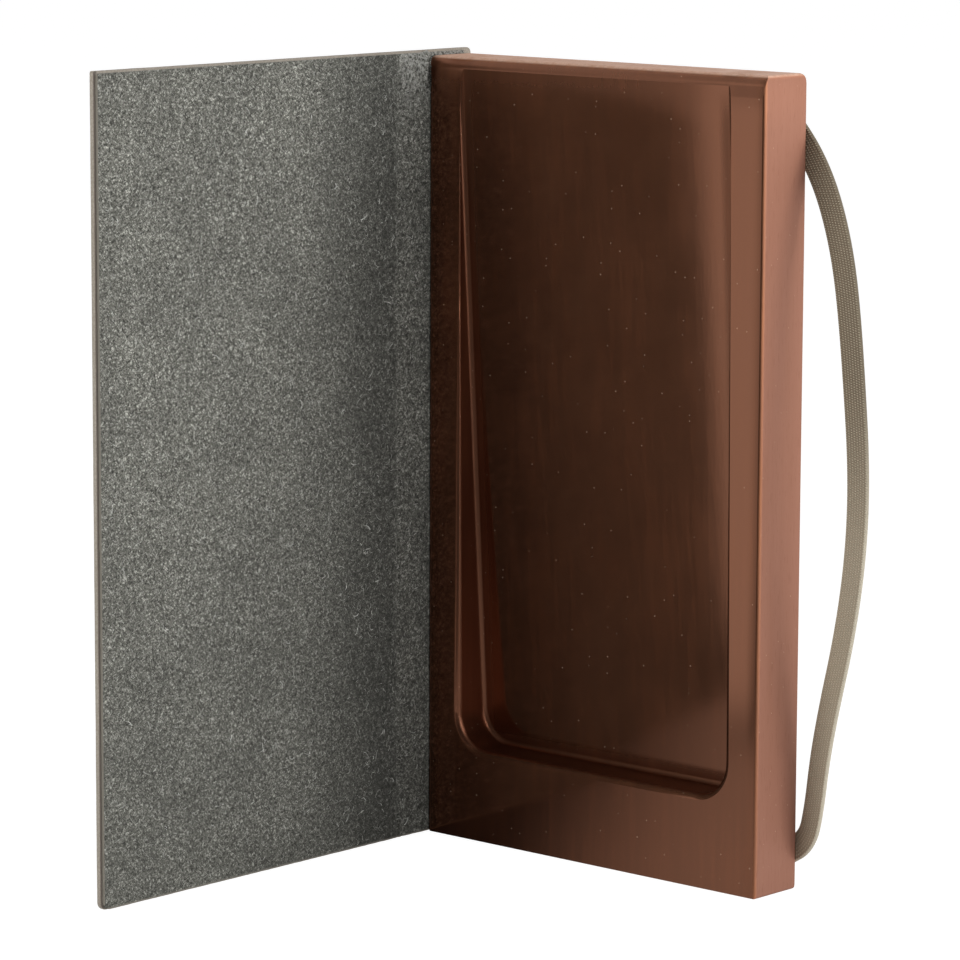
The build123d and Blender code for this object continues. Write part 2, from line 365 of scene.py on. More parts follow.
def spaced(start, end, step):
    """Places from start to end, evenly spaced at about this step, without the two ends."""
    count = max(1, round(abs(end - start) / step))
    return [start + (end - start) * index / count for index in range(1, count)]


def apply(piece, kind, **settings):
    """Adds a modifier with these settings and applies it."""
    alone(piece)
    modifier = piece.modifiers.new(kind.lower(), kind)
    for name, value in settings.items():
        setattr(modifier, name, value)
    bpy.ops.object.modifier_apply(modifier=modifier.name)


OPEN_PLACE = "open_place"


def remember_places(sheet):
    """Stores where each point lies now, so that the finish bends with the sheet."""
    layer = sheet.data.attributes.new(OPEN_PLACE, "FLOAT_VECTOR", "POINT")
    places = [part for vertex in sheet.data.vertices for part in vertex.co]
    layer.data.foreach_set("vector", places)


def ruffle(piece, name, size, height, middle, group=""):
    """Pushes the surface in and out by soft noise of this size, inside the vertex group."""
    texture = bpy.data.textures.new(name, "CLOUDS")
    texture.noise_scale = size
    texture.noise_depth = 2
    apply(
        piece,
        "DISPLACE",
        texture=texture,
        texture_coords="LOCAL",
        vertex_group=group,
        strength=height,
        mid_level=middle,
    )


# %% Cut the leather
LOWER_CORNER = 0.0020
UPPER_CORNER = 0.0005
SPINE_CORNER = 0.0014
FOLD_STEP = 0.0003
SPINE_STEP = 0.0020
LEATHER_STEP = 0.0020
LEATHER_ROW = 0.0025

skin_low = Vector((SHEET_OUTSIDE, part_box("panel_skin")[0].y, cad_low.z))
skin_high = Vector((SKIN_INSIDE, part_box("spine_skin")[1].y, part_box("panel_skin")[1].z))
cover_leather = box_between("cover_leather", skin_low, skin_high)
round_sheet_corner(cover_leather, skin_low.y, skin_low.z, LOWER_CORNER)
round_sheet_corner(cover_leather, skin_low.y, skin_high.z, UPPER_CORNER)
round_sheet_corner(cover_leather, skin_high.y, skin_high.z, SPINE_CORNER)
fold_cuts = spaced(FOLD_Y - FOLD_ZONE, FOLD_Y + FOLD_ZONE, FOLD_STEP)
panel_cuts = spaced(skin_low.y, FOLD_Y - FOLD_ZONE, LEATHER_STEP)
spine_cuts = spaced(FOLD_Y + FOLD_ZONE, skin_high.y, SPINE_STEP)
cut_across(cover_leather, panel_cuts + fold_cuts + spine_cuts, "Y")
cut_across(cover_leather, spaced(skin_low.z, skin_high.z, LEATHER_ROW), "Z")
print("leather faces", len(cover_leather.data.polygons))

# %% [markdown]
# The crease is pressed into the leather's outer face as a shallow groove. The cut edges are
# rounded a little, and the whole sheet is given the slight unevenness that hide has.

# %% Press the crease and soften the edges
GROOVE_DEPTH = 0.00018
GROOVE_SHAPE = ((0, 1.0), (-1, 0.8), (1, 0.8), (-2, 0.3), (2, 0.3))  # cut, share of the depth
NEAR_CUT = 0.0001
NEAR_FACE = 0.0002
EDGE_RADIUS = 0.00028


def is_on_cut(place, y):
    """Whether a place is on the leather's outer face, at the cut across at this Y."""
    return abs(place.y - y) < NEAR_CUT and place.x < SHEET_OUTSIDE + NEAR_FACE


for cut, share in GROOVE_SHAPE:
    pick(cover_leather, lambda place: is_on_cut(place, FOLD_Y + cut * FOLD_STEP))
    bpy.ops.transform.translate(value=(GROOVE_DEPTH * share, 0, 0))
    bpy.ops.object.mode_set(mode="OBJECT")
apply(
    cover_leather,
    "BEVEL",
    width=EDGE_RADIUS,
    segments=3,
    limit_method="ANGLE",
    angle_limit=math.radians(SHARP_ANGLE),
)
ruffle(cover_leather, "hide_unevenness", size=0.014, height=0.00010, middle=0.5)
shade_soft(cover_leather, angle=SHARP_ANGLE)
remember_places(cover_leather)
print("leather points", len(cover_leather.data.vertices))
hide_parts("panel_skin", "spine_skin")
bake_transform(cover_leather)

# %% [markdown]
# ## The cover's lining
#
# Inside the leather is a thin board of pressed grey fibre. It is made as the leather was, but its
# inner face is the one that shows, so it gets finer cuts.

# %% Cut the lining
WORN_STEP = 0.0004
LINING_STEP = 0.0012
WORN_START = PRESSED_Y - 0.003

lining_low = Vector((SKIN_INSIDE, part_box("panel_lining")[0].y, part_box("panel_lining")[0].z))
lining_high = Vector((LINING_INSIDE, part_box("spine_lining")[1].y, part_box("panel_lining")[1].z))
cover_lining = box_between("cover_lining", lining_low, lining_high)
round_sheet_corner(cover_lining, lining_low.y, lining_low.z, LOWER_CORNER)
worn_cuts = spaced(WORN_START, FOLD_Y - FOLD_ZONE, WORN_STEP)
panel_cuts = spaced(lining_low.y, WORN_START, LINING_STEP)
spine_cuts = spaced(FOLD_Y + FOLD_ZONE, lining_high.y, SPINE_STEP)
cut_across(cover_lining, panel_cuts + worn_cuts + fold_cuts + spine_cuts, "Y")
cut_across(cover_lining, spaced(lining_low.z, lining_high.z, LINING_STEP), "Z")
print("lining faces", len(cover_lining.data.polygons))

# %% [markdown]
# An upright line is pressed into the board beside the fold. Between that line and the block the
# board bends each time the cover is shut, so it has puckered there. Displace modifiers push only
# the points in a vertex group, so each kind of wear has a group of its own.

# %% Press its line and pucker the fold
PRESSED_DEPTH = 0.00022
PRESSED_HALF = 0.00035


def is_inner(place):
    """Whether a place is on the lining's inner face."""
    return place.x > LINING_INSIDE - NEAR_CUT


pick(cover_lining, lambda place: is_inner(place) and abs(place.y - PRESSED_Y) < PRESSED_HALF)
bpy.ops.transform.translate(value=(-PRESSED_DEPTH, 0, 0))
bpy.ops.object.mode_set(mode="OBJECT")
puckered = cover_lining.vertex_groups.new(name="puckered")
felted = cover_lining.vertex_groups.new(name="felted")
for vertex in cover_lining.data.vertices:
    if is_inner(vertex.co) and lining_low.y + 0.0005 < vertex.co.y < FOLD_Y:
        felted.add([vertex.index], 1.0, "REPLACE")
        if vertex.co.y > PRESSED_Y + 0.001:
            puckered.add([vertex.index], 1.0, "REPLACE")
ruffle(cover_lining, "fold_puckers", size=0.0035, height=0.00035, middle=0.6, group="puckered")
ruffle(cover_lining, "felt_lumps", size=0.0016, height=0.00012, middle=0.6, group="felted")
print("groups", [group.name for group in cover_lining.vertex_groups])

# %% [markdown]
# At the top of the fold the board stands out in a small lip over the block's corner. Its weight in
# the vertex group falls off to both sides and downwards, so the lip rises smoothly.

# %% Raise the lip
LIP_Y = -0.0100
LIP_WIDTH = 0.0014
LIP_REACH = 0.0110
LIP_HEIGHT = 0.0011
LIP_STEEPNESS = 1.6

lipped = cover_lining.vertex_groups.new(name="lipped")
for vertex in cover_lining.data.vertices:
    near_top = (vertex.co.z - lining_high.z + LIP_REACH) / LIP_REACH
    near_fold = 1 - abs(vertex.co.y - LIP_Y) / LIP_WIDTH
    if is_inner(vertex.co) and near_top > 0 and near_fold > 0:
        weight = min(1.0, LIP_STEEPNESS * near_top) * near_fold
        lipped.add([vertex.index], weight, "REPLACE")
apply(cover_lining, "DISPLACE", vertex_group="lipped", strength=LIP_HEIGHT, mid_level=0.0)
shade_soft(cover_lining, angle=SHARP_ANGLE)
remember_places(cover_lining)
print("lining points", len(cover_lining.data.vertices))
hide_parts("panel_lining", "spine_lining")
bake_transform(cover_lining)

# %% [markdown]
# ## Loose fibres on the lining
#
# The board sheds short pale fibres that lie on it in all directions. A few shapes are modelled,
# each a thin three-sided rod that is bent into an arc.

# %% Model the fibre shapes
FIBRE_LENGTH = 0.0013
FIBRE_RADIUS = 0.00006
FIBRE_BENDS = (25, 70, 115, 170)


def bent_fibre(name, bend):
    """One fibre, along Z at the origin, cut in three and bent in the YZ plane."""
    bpy.ops.object.select_all(action="DESELECT")
    bpy.ops.mesh.primitive_cylinder_add(vertices=3, radius=FIBRE_RADIUS, depth=FIBRE_LENGTH)
    fibre = bpy.context.active_object
    fibre.name = name
    bpy.ops.object.mode_set(mode="EDIT")
    for share in (-0.2, 0.2):
        bpy.ops.mesh.select_all(action="SELECT")
        bpy.ops.mesh.bisect(plane_co=(0, 0, share * FIBRE_LENGTH), plane_no=(0, 0, 1))
    bpy.ops.object.mode_set(mode="OBJECT")
    apply(
        fibre,
        "SIMPLE_DEFORM",
        deform_method="BEND",
        deform_axis="X",
        angle=math.radians(bend),
    )
    return fibre


fibre_shapes = bpy.data.collections.new("fibre_shapes")
bpy.context.scene.collection.children.link(fibre_shapes)
for bend in FIBRE_BENDS:
    shape = bent_fibre(f"fibre_{bend}", bend)
    for home in list(shape.users_collection):
        home.objects.unlink(shape)
    fibre_shapes.objects.link(shape)

# %% [markdown]
# Geometry nodes then scatter thousands of copies over the lining's inner face, turned and sized at
# random from a fixed seed. That is quicker than placing them by hand, and it comes out the same
# each time. One helper adds a node, here and in the finishes below.

# %% Helpers that scatter fibres over a strip


def add_node(tree, kind, inputs=None, **settings):
    """Adds a node. An input is a plain value, or another node's output that feeds it."""
    node = tree.nodes.new(kind)
    for name, value in settings.items():
        setattr(node, name, value)
    for name, value in (inputs or {}).items():
        socket = node.inputs[name]
        if isinstance(value, bpy.types.NodeSocket):
            tree.links.new(value, socket)
        else:
            socket.default_value = value
    return node


def fibre_nodes(name, density, seed, sizes, lift):
    """Nodes that put a turned and sized fibre on each of a strip's random points."""
    group = bpy.data.node_groups.new(name, "GeometryNodeTree")
    for way in ("INPUT", "OUTPUT"):
        group.interface.new_socket("Geometry", in_out=way, socket_type="NodeSocketGeometry")
    strip = add_node(group, "NodeGroupInput").outputs[0]
    points = {"Mesh": strip, "Density": density, "Seed": seed}
    points = add_node(group, "GeometryNodeDistributePointsOnFaces", points).outputs["Points"]
    shapes = {"Collection": fibre_shapes, "Separate Children": True, "Reset Children": True}
    shapes = add_node(group, "GeometryNodeCollectionInfo", shapes).outputs[0]
    turn = {"Min": (0, -lift, -lift), "Max": (2 * math.pi, lift, lift), "Seed": seed + 1}
    turn = add_node(group, "FunctionNodeRandomValue", turn, data_type="FLOAT_VECTOR").outputs[0]
    size = {2: sizes[0], 3: sizes[1], "Seed": seed + 2}
    size = add_node(group, "FunctionNodeRandomValue", size, data_type="FLOAT").outputs[1]
    copies = {"Points": points, "Instance": shapes, "Rotation": turn, "Scale": size}
    copies["Pick Instance"] = True
    copies = add_node(group, "GeometryNodeInstanceOnPoints", copies).outputs[0]
    real = add_node(group, "GeometryNodeRealizeInstances", {0: copies}).outputs[0]
    add_node(group, "NodeGroupOutput", {0: real})
    return group


def scatter(name, low, high, density, seed, sizes, lift):
    """Fibres over the upright strip between two corners: density per square metre."""
    bpy.ops.object.select_all(action="DESELECT")
    centre = Vector((low[0], (low[1] + high[1]) / 2, (low[2] + high[2]) / 2))
    bpy.ops.mesh.primitive_grid_add(
        x_subdivisions=1, y_subdivisions=1, size=1, location=centre, rotation=(0, math.pi / 2, 0)
    )
    strip = bpy.context.active_object
    strip.name = name
    strip.data.name = name
    strip.scale = (high[2] - low[2], high[1] - low[1], 1)
    bpy.ops.object.transform_apply(location=True, rotation=True, scale=True)
    apply(strip, "NODES", node_group=fibre_nodes(name, density, seed, sizes, lift))
    print(name, "vertices", len(strip.data.vertices))
    return strip


# %% [markdown]
# Most fibres are short and lie flat. A few are long. Dark lint has gathered in the corner between
# the fold and the block, thickest at its top.

# %% Scatter the fibres
felt_fibres = scatter(
    "felt_fibres",
    (LINING_INSIDE, lining_low.y + 0.0008, lining_low.z + 0.0008),
    (LINING_INSIDE, FOLD_Y - 0.0008, lining_high.z - 0.0006),
    density=3.6e5,
    seed=3,
    sizes=(0.35, 1.10),
    lift=0.06,
)
long_fibres = scatter(
    "long_fibres",
    (LINING_INSIDE, lining_low.y + 0.0030, lining_low.z + 0.0030),
    (LINING_INSIDE, FOLD_Y - 0.0030, lining_high.z - 0.0030),
    density=2.2e4,
    seed=11,
    sizes=(1.2, 2.2),
    lift=0.03,
)
fold_lint = scatter(
    "fold_lint",
    (LINING_INSIDE + 0.0001, FOLD_Y - 0.0012, lining_low.z + 0.0020),
    (LINING_INSIDE + 0.0001, FOLD_Y + 0.0007, lining_high.z - 0.0010),
    density=9e5,
    seed=21,
    sizes=(0.5, 1.1),
    lift=0.8,
)
top_lint = scatter(
    "top_lint",
    (LINING_INSIDE + 0.0004, FOLD_Y - 0.0003, lining_high.z - 0.0090),
    (LINING_INSIDE + 0.0004, FOLD_Y + 0.0010, lining_high.z - 0.0012),
    density=6e6,
    seed=31,
    sizes=(0.9, 1.6),
    lift=1.0,
)
for fibres in (felt_fibres, long_fibres, fold_lint, top_lint):
    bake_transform(fibres)
for shape in list(fibre_shapes.objects):
    bpy.data.objects.remove(shape)
bpy.data.collections.remove(fibre_shapes)

# %% [markdown]
# ## Finishes
#
# Each finish is built from nodes. Patterns on hard pieces read Object coordinates, which are
# metres in the model's own frame, so a number such as 1 / 0.004 makes a pattern of about 4 mm.
# A few helpers keep that short, each for one kind of sum.

# %% Helpers that start a finish and do its sums


def new_finish(name):
    """An empty finish: the material and its nodes."""
    finish = bpy.data.materials.new(name)
    finish.use_nodes = True
    finish.node_tree.nodes.clear()
    return finish


def put(finish, kind, inputs=None, **settings):
    """Adds a shader node of this kind to the finish."""
    return add_node(finish.node_tree, "ShaderNode" + kind, inputs, **settings)


def calc(finish, operation, first, second=0.0, third=0.0):
    """One Math node's result."""
    node = put(finish, "Math", {0: first, 1: second, 2: third}, operation=operation)
    return node.outputs[0]


def times(finish, first, *others):
    """All the values multiplied together."""
    for other in others:
        first = calc(finish, "MULTIPLY", first, other)
    return first


def most(finish, first, *others):
    """The largest of the values."""
    for other in others:
        first = calc(finish, "MAXIMUM", first, other)
    return first


def apart(finish, value, place):
    """How far the value is from a place, to either side."""
    return calc(finish, "ABSOLUTE", calc(finish, "SUBTRACT", value, place))


def fade(finish, value, low, high, start=0.0, end=1.0):
    """Turns a value from low to high into start to end, smoothly, and holds it outside."""
    inputs = {"Value": value, "From Min": low, "From Max": high, "To Min": start, "To Max": end}
    return put(finish, "MapRange", inputs, interpolation_type="SMOOTHSTEP").outputs[0]


# %% [markdown]
# A finish also needs to know where it is on the piece, and to turn numbers into colours.

# %% Helpers for places, patterns and colours


def place_on(finish, stretch=(1, 1, 1)):
    """Object coordinates, each multiplied, so that a pattern can be drawn out along the grain."""
    where = put(finish, "TexCoord").outputs["Object"]
    return put(finish, "Mapping", {"Vector": where, "Scale": stretch}).outputs[0]


def place_on_sheet(finish):
    """Where the sheet's own point lay when the cover stood open, however it is folded now."""
    return put(finish, "Attribute", attribute_name=OPEN_PLACE).outputs["Vector"]


def axes_of(finish, where):
    """A place's three coordinates."""
    return list(put(finish, "SeparateXYZ", {"Vector": where}).outputs)


def noise(finish, where, scale, detail=4.0, rough=0.55):
    """Soft noise with about this many lumps to a metre."""
    inputs = {"Vector": where, "Scale": scale, "Detail": detail, "Roughness": rough}
    return put(finish, "TexNoise", inputs).outputs[0]


def cell_values(finish, cells):
    """Three random values that each cell of a Voronoi pattern has to itself."""
    return put(finish, "SeparateColor", {"Color": cells.outputs["Color"]}).outputs


def tones(finish, value, stops):
    """A colour ramp of (position, colour) stops."""
    node = put(finish, "ValToRGB", {"Fac": value})
    ramp = node.color_ramp
    while len(ramp.elements) < len(stops):
        ramp.elements.new(0.5)
    for element, (position, colour) in zip(ramp.elements, stops):
        element.position = position
        element.color = (*colour, 1)
    return node.outputs[0]


def mixed(finish, share, below, above):
    """Covers a node's colour, by a share, with a plain colour or another node's."""
    if not isinstance(above, bpy.types.NodeSocket):
        above = (*above, 1)
    inputs = {"Factor": share, 6: below, 7: above}
    return put(finish, "Mix", inputs, data_type="RGBA").outputs[2]


# %% [markdown]
# Last come the relief, the shader and the piece that wears it. A number that is the same all over
# a surface goes straight on the shader's own socket.

# %% Helpers for relief and the surface


def bumped(finish, height, distance, strength=1.0, under=None):
    """A bump from a height from 0 to 1, for a relief this many metres deep."""
    inputs = {"Height": height, "Distance": distance, "Strength": strength}
    if under is not None:
        inputs["Normal"] = under
    return put(finish, "Bump", inputs).outputs[0]


def surface(finish, **inputs):
    """The shader and the output, with the shader's sockets set or fed."""
    shader = put(finish, "BsdfPrincipled", {n.replace("_", " "): v for n, v in inputs.items()})
    put(finish, "OutputMaterial", {"Surface": shader.outputs[0]})
    return finish


def wear(piece, finish):
    """Gives the piece this one finish all over."""
    piece.data.materials.clear()
    piece.data.materials.append(finish)
    print(piece.name, "wears", finish.name, "of", len(finish.node_tree.nodes), "nodes")


# %% [markdown]
# ### Stained wood
#
# The block is close-grained wood. A real one is sanded, stained nearly black-brown, and sprayed
# with a reddish lacquer, so that its brown comes mostly from what the tinted lacquer mirrors, and
# it turns dark wherever it faces something dark. That is why the base colour here is very dark and
# the reflection carries the colour. The grain runs up the block, so its noise is drawn out along
# Z. How far a point is in from each face says where the edges are.

# %% Lay out the wood's grain
GRAIN = (1, 1, 0.045)
PORE_GRAIN = (1, 1, 0.09)

wood = new_finish("stained_wood")
wood_place = place_on(wood)
wood_x, wood_y, wood_z = axes_of(wood, wood_place)
out_x = calc(wood, "ABSOLUTE", wood_x)
from_side = calc(wood, "SUBTRACT", block_high.x, out_x)
from_front = calc(wood, "SUBTRACT", wood_y, block_low.y)
from_back = calc(wood, "SUBTRACT", block_high.y, wood_y)
from_top = calc(wood, "SUBTRACT", block_high.z, wood_z)
near_top = fade(wood, from_top, 0.0014, 0.0004)

along_grain = place_on(wood, GRAIN)
streaks = noise(wood, along_grain, 700, detail=5, rough=0.6)
bands = noise(wood, along_grain, 110, detail=3)
clouds = noise(wood, wood_place, 30, detail=3)
pores = noise(wood, place_on(wood, PORE_GRAIN), 2600, detail=2)
print("the grain takes", len(wood.node_tree.nodes), "nodes")

# %% [markdown]
# The stain went deepest on the front. The cut sides took less and are paler. The end grain on top
# is paler again, and it is painted palest of all, nearly white, as the grazing reflection of the
# white room that it shows. The pores drew in more of it.

# %% Stain it
FRONT_STAIN = (
    (0.36, (0.010, 0.0028, 0.0012)),
    (0.50, (0.020, 0.0056, 0.0024)),
    (0.64, (0.046, 0.0130, 0.0052)),
)
SIDE_STAIN = (
    (0.36, (0.140, 0.068, 0.051)),
    (0.50, (0.160, 0.080, 0.062)),
    (0.64, (0.182, 0.094, 0.074)),
)
END_GRAIN_AND_REFLECTION = (0.84, 0.60, 0.47)
PORE_STAIN = (0.016, 0.005, 0.0025)


def stained():
    """The wood's colour as it left the stain, with a painted reflection on its top."""
    tone = calc(wood, "MULTIPLY_ADD", streaks, 0.42, times(wood, bands, 0.23))
    tone = calc(wood, "MULTIPLY_ADD", clouds, 0.35, tone)
    on_side = fade(wood, from_side, 0.0006, 0.0001)
    on_end = fade(wood, from_top, 0.0008, 0.0002, 0.0, 0.92)
    in_pore = fade(wood, pores, 0.34, 0.40, 0.35, 0.0)
    colour = mixed(wood, on_side, tones(wood, tone, FRONT_STAIN), tones(wood, tone, SIDE_STAIN))
    # Painted reflection: the top is coloured pale for the white room that it mirrors at a grazing
    # angle.
    colour = mixed(wood, on_end, colour, END_GRAIN_AND_REFLECTION)
    return mixed(wood, in_pore, colour, PORE_STAIN)


# %% [markdown]
# In use the stain has rubbed thin on the long outer edges, in patches, and half as much on the top
# ones. A few specks of dust sit on the lacquer. Each speck is the middle of a cell of a Voronoi
# pattern, and most cells keep theirs too faint to see.

# %% Rub the edges and drop the dust
RUBBED_WOOD = (0.36, 0.135, 0.055)
DUST = (0.50, 0.36, 0.26)
DUST_CELLS = 330.0


def rubbed_edges(colour):
    """The colour with the stain rubbed thin along the edges."""
    by_side = fade(wood, from_side, 0.0008, 0.0002)
    by_front = fade(wood, from_front, 0.0009, 0.0002)
    by_back = fade(wood, from_back, 0.0009, 0.0002)
    long_edge = times(wood, by_side, most(wood, by_front, by_back))
    patches = noise(wood, along_grain, 420, detail=5, rough=0.7)
    patches = fade(wood, patches, 0.38, 0.62, 0.35, 0.85)
    rubbed = times(wood, most(wood, long_edge, times(wood, near_top, 0.5)), patches)
    return mixed(wood, rubbed, colour, RUBBED_WOOD)


def dusted(colour):
    """The colour with specks of dust on it."""
    across = calc(wood, "MULTIPLY_ADD", wood_y, 1.3, wood_x)
    up = calc(wood, "MULTIPLY_ADD", wood_y, 0.9, wood_z)
    flat = put(wood, "CombineXYZ", {"X": across, "Y": up}).outputs[0]
    cells = {"Vector": flat, "Scale": DUST_CELLS}
    cells = put(wood, "TexVoronoi", cells, voronoi_dimensions="2D")
    speck = fade(wood, cells.outputs["Distance"], 0.030, 0.070, 1.0, 0.0)
    shows = fade(wood, cell_values(wood, cells)[0], 0.85, 1.0, 0.0, 0.75)
    return mixed(wood, times(wood, speck, shows), colour, DUST)


# %% [markdown]
# The lacquer is glossy on the front and in the recess. It is dull on the sides, the top and the
# back. Round the recess's rim, and near the front's top on the cover's side, handling has dulled it
# a little.

# %% Say how dull the lacquer is
RECESS_WALL_X = 0.0445
RECESS_FOOT_Z = 0.024
RIM_BACK_Y = 0.0046  # the rim's dullness ends here, inside the recess


def lacquer_roughness():
    """The lacquer's roughness, from glossy to dull."""
    dull = most(
        wood,
        fade(wood, from_side, 0.0012, 0.0003),
        near_top,
        fade(wood, from_back, 0.0030, 0.0005, 0.0, 0.8),
    )
    rough = fade(wood, clouds, 0.35, 0.65, 0.075, 0.105)
    rough = calc(wood, "MULTIPLY_ADD", dull, 0.38, rough)
    rough = calc(wood, "MULTIPLY_ADD", streaks, 0.05, rough)

    by_wall = apart(wood, out_x, RECESS_WALL_X)
    past_corner = calc(wood, "SUBTRACT", out_x, RECESS_WALL_X - 0.003)
    by_foot = most(wood, apart(wood, wood_z, RECESS_FOOT_Z), past_corner)
    by_rim = fade(wood, calc(wood, "MINIMUM", by_wall, by_foot), 0.0020, 0.0050, 0.24, 0.0)
    behind_face = fade(wood, from_front, 0.0001, 0.0008)
    by_face = fade(wood, wood_y, RIM_BACK_Y - 0.0012, RIM_BACK_Y, 1.0, 0.0)
    rough = calc(wood, "ADD", rough, times(wood, by_rim, behind_face, by_face))

    by_top = fade(wood, from_top, 0.014, 0.004, 0.0, 0.16)
    on_left = fade(wood, wood_x, 0.015, 0.042, 1.0, 0.1)
    return calc(wood, "ADD", rough, times(wood, by_top, on_left))


# %% [markdown]
# The front isn't quite flat, and a mirror shows that. It leans to one side by about a degree and a
# half, it is sanded rounder towards its two sides and its top, and its top edge is eased. Four
# gentle bumps give that, and two fine ones give the grain under the lacquer.

# %% Shape the lacquer and wear the wood
LEAN_WIDTH = 0.110
LEAN_DEPTH = 0.0027
ROLLED_WIDTH = 0.0040
ROLLED_DEPTH = 0.0004
SANDED_HEIGHT = 0.016
SANDED_DEPTH = 0.0008
EASED_HEIGHT = 0.00302
EASED_DEPTH = 0.00021
GRAIN_DEPTH = 0.00001


def lacquer_relief():
    """The broad shape of the face and the fine grain, one bump over another."""
    relief = bumped(wood, calc(wood, "DIVIDE", wood_x, -LEAN_WIDTH), LEAN_DEPTH)
    rolled = calc(wood, "SUBTRACT", ROLLED_WIDTH, from_side)
    rolled = calc(wood, "DIVIDE", most(wood, rolled, 0.0), ROLLED_WIDTH)
    rolled = calc(wood, "SUBTRACT", 1.0, calc(wood, "POWER", rolled, 2.0))
    relief = bumped(wood, rolled, ROLLED_DEPTH, under=relief)
    sanded = fade(wood, from_top, SANDED_HEIGHT, 0.0)
    sanded = calc(wood, "SUBTRACT", 1.0, calc(wood, "POWER", sanded, 2.0))
    relief = bumped(wood, sanded, SANDED_DEPTH, under=relief)
    eased = fade(wood, from_top, EASED_HEIGHT, 0.0)
    eased = times(wood, eased, 4.0, calc(wood, "SUBTRACT", 1.0, eased))
    front_half = fade(wood, wood_y, -0.002, 0.0, 1.0, 0.0)
    inside = fade(wood, from_side, 0.0003, 0.0007)
    eased = times(wood, eased, front_half, inside)
    relief = bumped(wood, eased, EASED_DEPTH, under=relief)
    relief = bumped(wood, streaks, GRAIN_DEPTH, 0.30, relief)
    return bumped(wood, pores, GRAIN_DEPTH, 0.20, relief)


surface(
    wood,
    Base_Color=dusted(rubbed_edges(stained())),
    Roughness=lacquer_roughness(),
    IOR=2.0,
    Specular_IOR_Level=0.95,
    Specular_Tint=(1.0, 0.43, 0.25, 1.0),
    Coat_Weight=0.06,
    Coat_Roughness=0.30,
    Coat_IOR=1.45,
    Normal=lacquer_relief(),
)
wear(frame["nodes"]["tray_block"], wood)

# %% [markdown]
# ### Leather
#
# The leather is matt and taupe, with a fine pebbled grain whose creases are painted darker, as
# their shade. A dark line is painted on the rim of its free edge, beside the lining, as the shade
# where the lining steps in. It reads the places that its points had while the cover stood open, so
# that nothing slides over it when it is folded.

# %% Make the leather
PEBBLE_CELLS = 1100.0
HIDE = (
    (0.35, (0.385, 0.342, 0.284)),
    (0.52, (0.415, 0.370, 0.310)),
    (0.68, (0.445, 0.400, 0.338)),
)
PEBBLE_CREASE_SHADE = (0.20, 0.16, 0.12)
FREE_EDGE_SHADE = (0.100, 0.078, 0.064)


def taupe_leather():
    """The cover's leather."""
    finish = new_finish("taupe_leather")
    where = place_on_sheet(finish)
    x, y = axes_of(finish, where)[:2]
    pebbles = {"Vector": where, "Scale": PEBBLE_CELLS}
    pebbles = put(finish, "TexVoronoi", pebbles, feature="DISTANCE_TO_EDGE")
    pebbles = fade(finish, pebbles.outputs["Distance"], 0.02, 0.16)
    hide_clouds = noise(finish, where, 45, detail=4)
    # Painted shade: the creases between the pebbles are coloured darker.
    crease_shade = fade(finish, pebbles, 0.0, 1.0, 0.28, 0.0)
    colour = mixed(finish, crease_shade, tones(finish, hide_clouds, HIDE), PEBBLE_CREASE_SHADE)
    # Painted shade: a dark line on the rim beside the lining, strongest along the free edge.
    by_inner_face = fade(finish, x, SKIN_INSIDE - 0.00018, SKIN_INSIDE - 0.00004)
    free_edge = fade(finish, y, lining_low.y + 0.0002, lining_low.y + 0.0008, 0.85, 0.12)
    colour = mixed(finish, times(finish, by_inner_face, free_edge), colour, FREE_EDGE_SHADE)
    relief = bumped(finish, pebbles, 0.00010, 0.6)
    relief = bumped(finish, noise(finish, where, 3600, detail=3), 0.00004, 0.5, relief)
    return surface(
        finish,
        Base_Color=colour,
        Roughness=fade(finish, hide_clouds, 0.3, 0.7, 0.58, 0.70),
        IOR=1.45,
        Sheen_Weight=0.08,
        Sheen_Roughness=0.5,
        Normal=relief,
    )


wear(cover_leather, taupe_leather())

# %% [markdown]
# ### Fibre board
#
# The lining is grey felted fibre. Short strokes of noise that lean several ways give its pale
# threads and the dark gaps between them, over a softer mat. Towards the fold it is lumpier. It
# reads its open places too.

# %% Felt the board
STROKE_SHAPE = (1, 0.36, 1)
LUMPY_FROM_Y = -0.034


def strokes(turn, scale, shift=0.0):
    """Noise drawn out into short strokes that lean by this many degrees on the upright board."""
    turned = {"Vector": board_place, "Rotation": (math.radians(turn), 0, 0)}
    turned = put(board, "Mapping", turned).outputs[0]
    drawn = {"Vector": turned, "Location": (shift, shift, shift), "Scale": STROKE_SHAPE}
    drawn = put(board, "Mapping", drawn).outputs[0]
    return noise(board, drawn, scale, detail=1.5, rough=0.6)


board = new_finish("fibre_board")
board_place = place_on_sheet(board)
board_y, board_z = axes_of(board, board_place)[1:]
threads = most(board, strokes(30, 3000), strokes(-38, 3000), strokes(78, 2800))
gaps = most(board, strokes(44, 2900, shift=3.0), strokes(-22, 2900, shift=3.0))
mat = noise(board, board_place, 1300, detail=3, rough=0.6)
lumps = calc(board, "SUBTRACT", noise(board, board_place, 850, detail=4, rough=0.65), 0.5)
lumps = times(board, lumps, fade(board, board_y, LUMPY_FROM_Y, PRESSED_Y, 0.12, 0.60))

felt = calc(board, "SUBTRACT", threads, times(board, gaps, 0.8))
felt = calc(board, "MULTIPLY_ADD", calc(board, "SUBTRACT", mat, 0.5), 0.45, felt)
felt = calc(board, "ADD", calc(board, "ADD", felt, 0.33), lumps)
print("the felt takes", len(board.node_tree.nodes), "nodes")

# %% [markdown]
# The board is soiled in large soft patches, and it is darker towards its foot. Towards the fold it
# is painted darker still, as the shade between the cover and the block, most of all before the
# pressed line. At the fold's top it is rubbed pale, and its cut edges are a little browner.

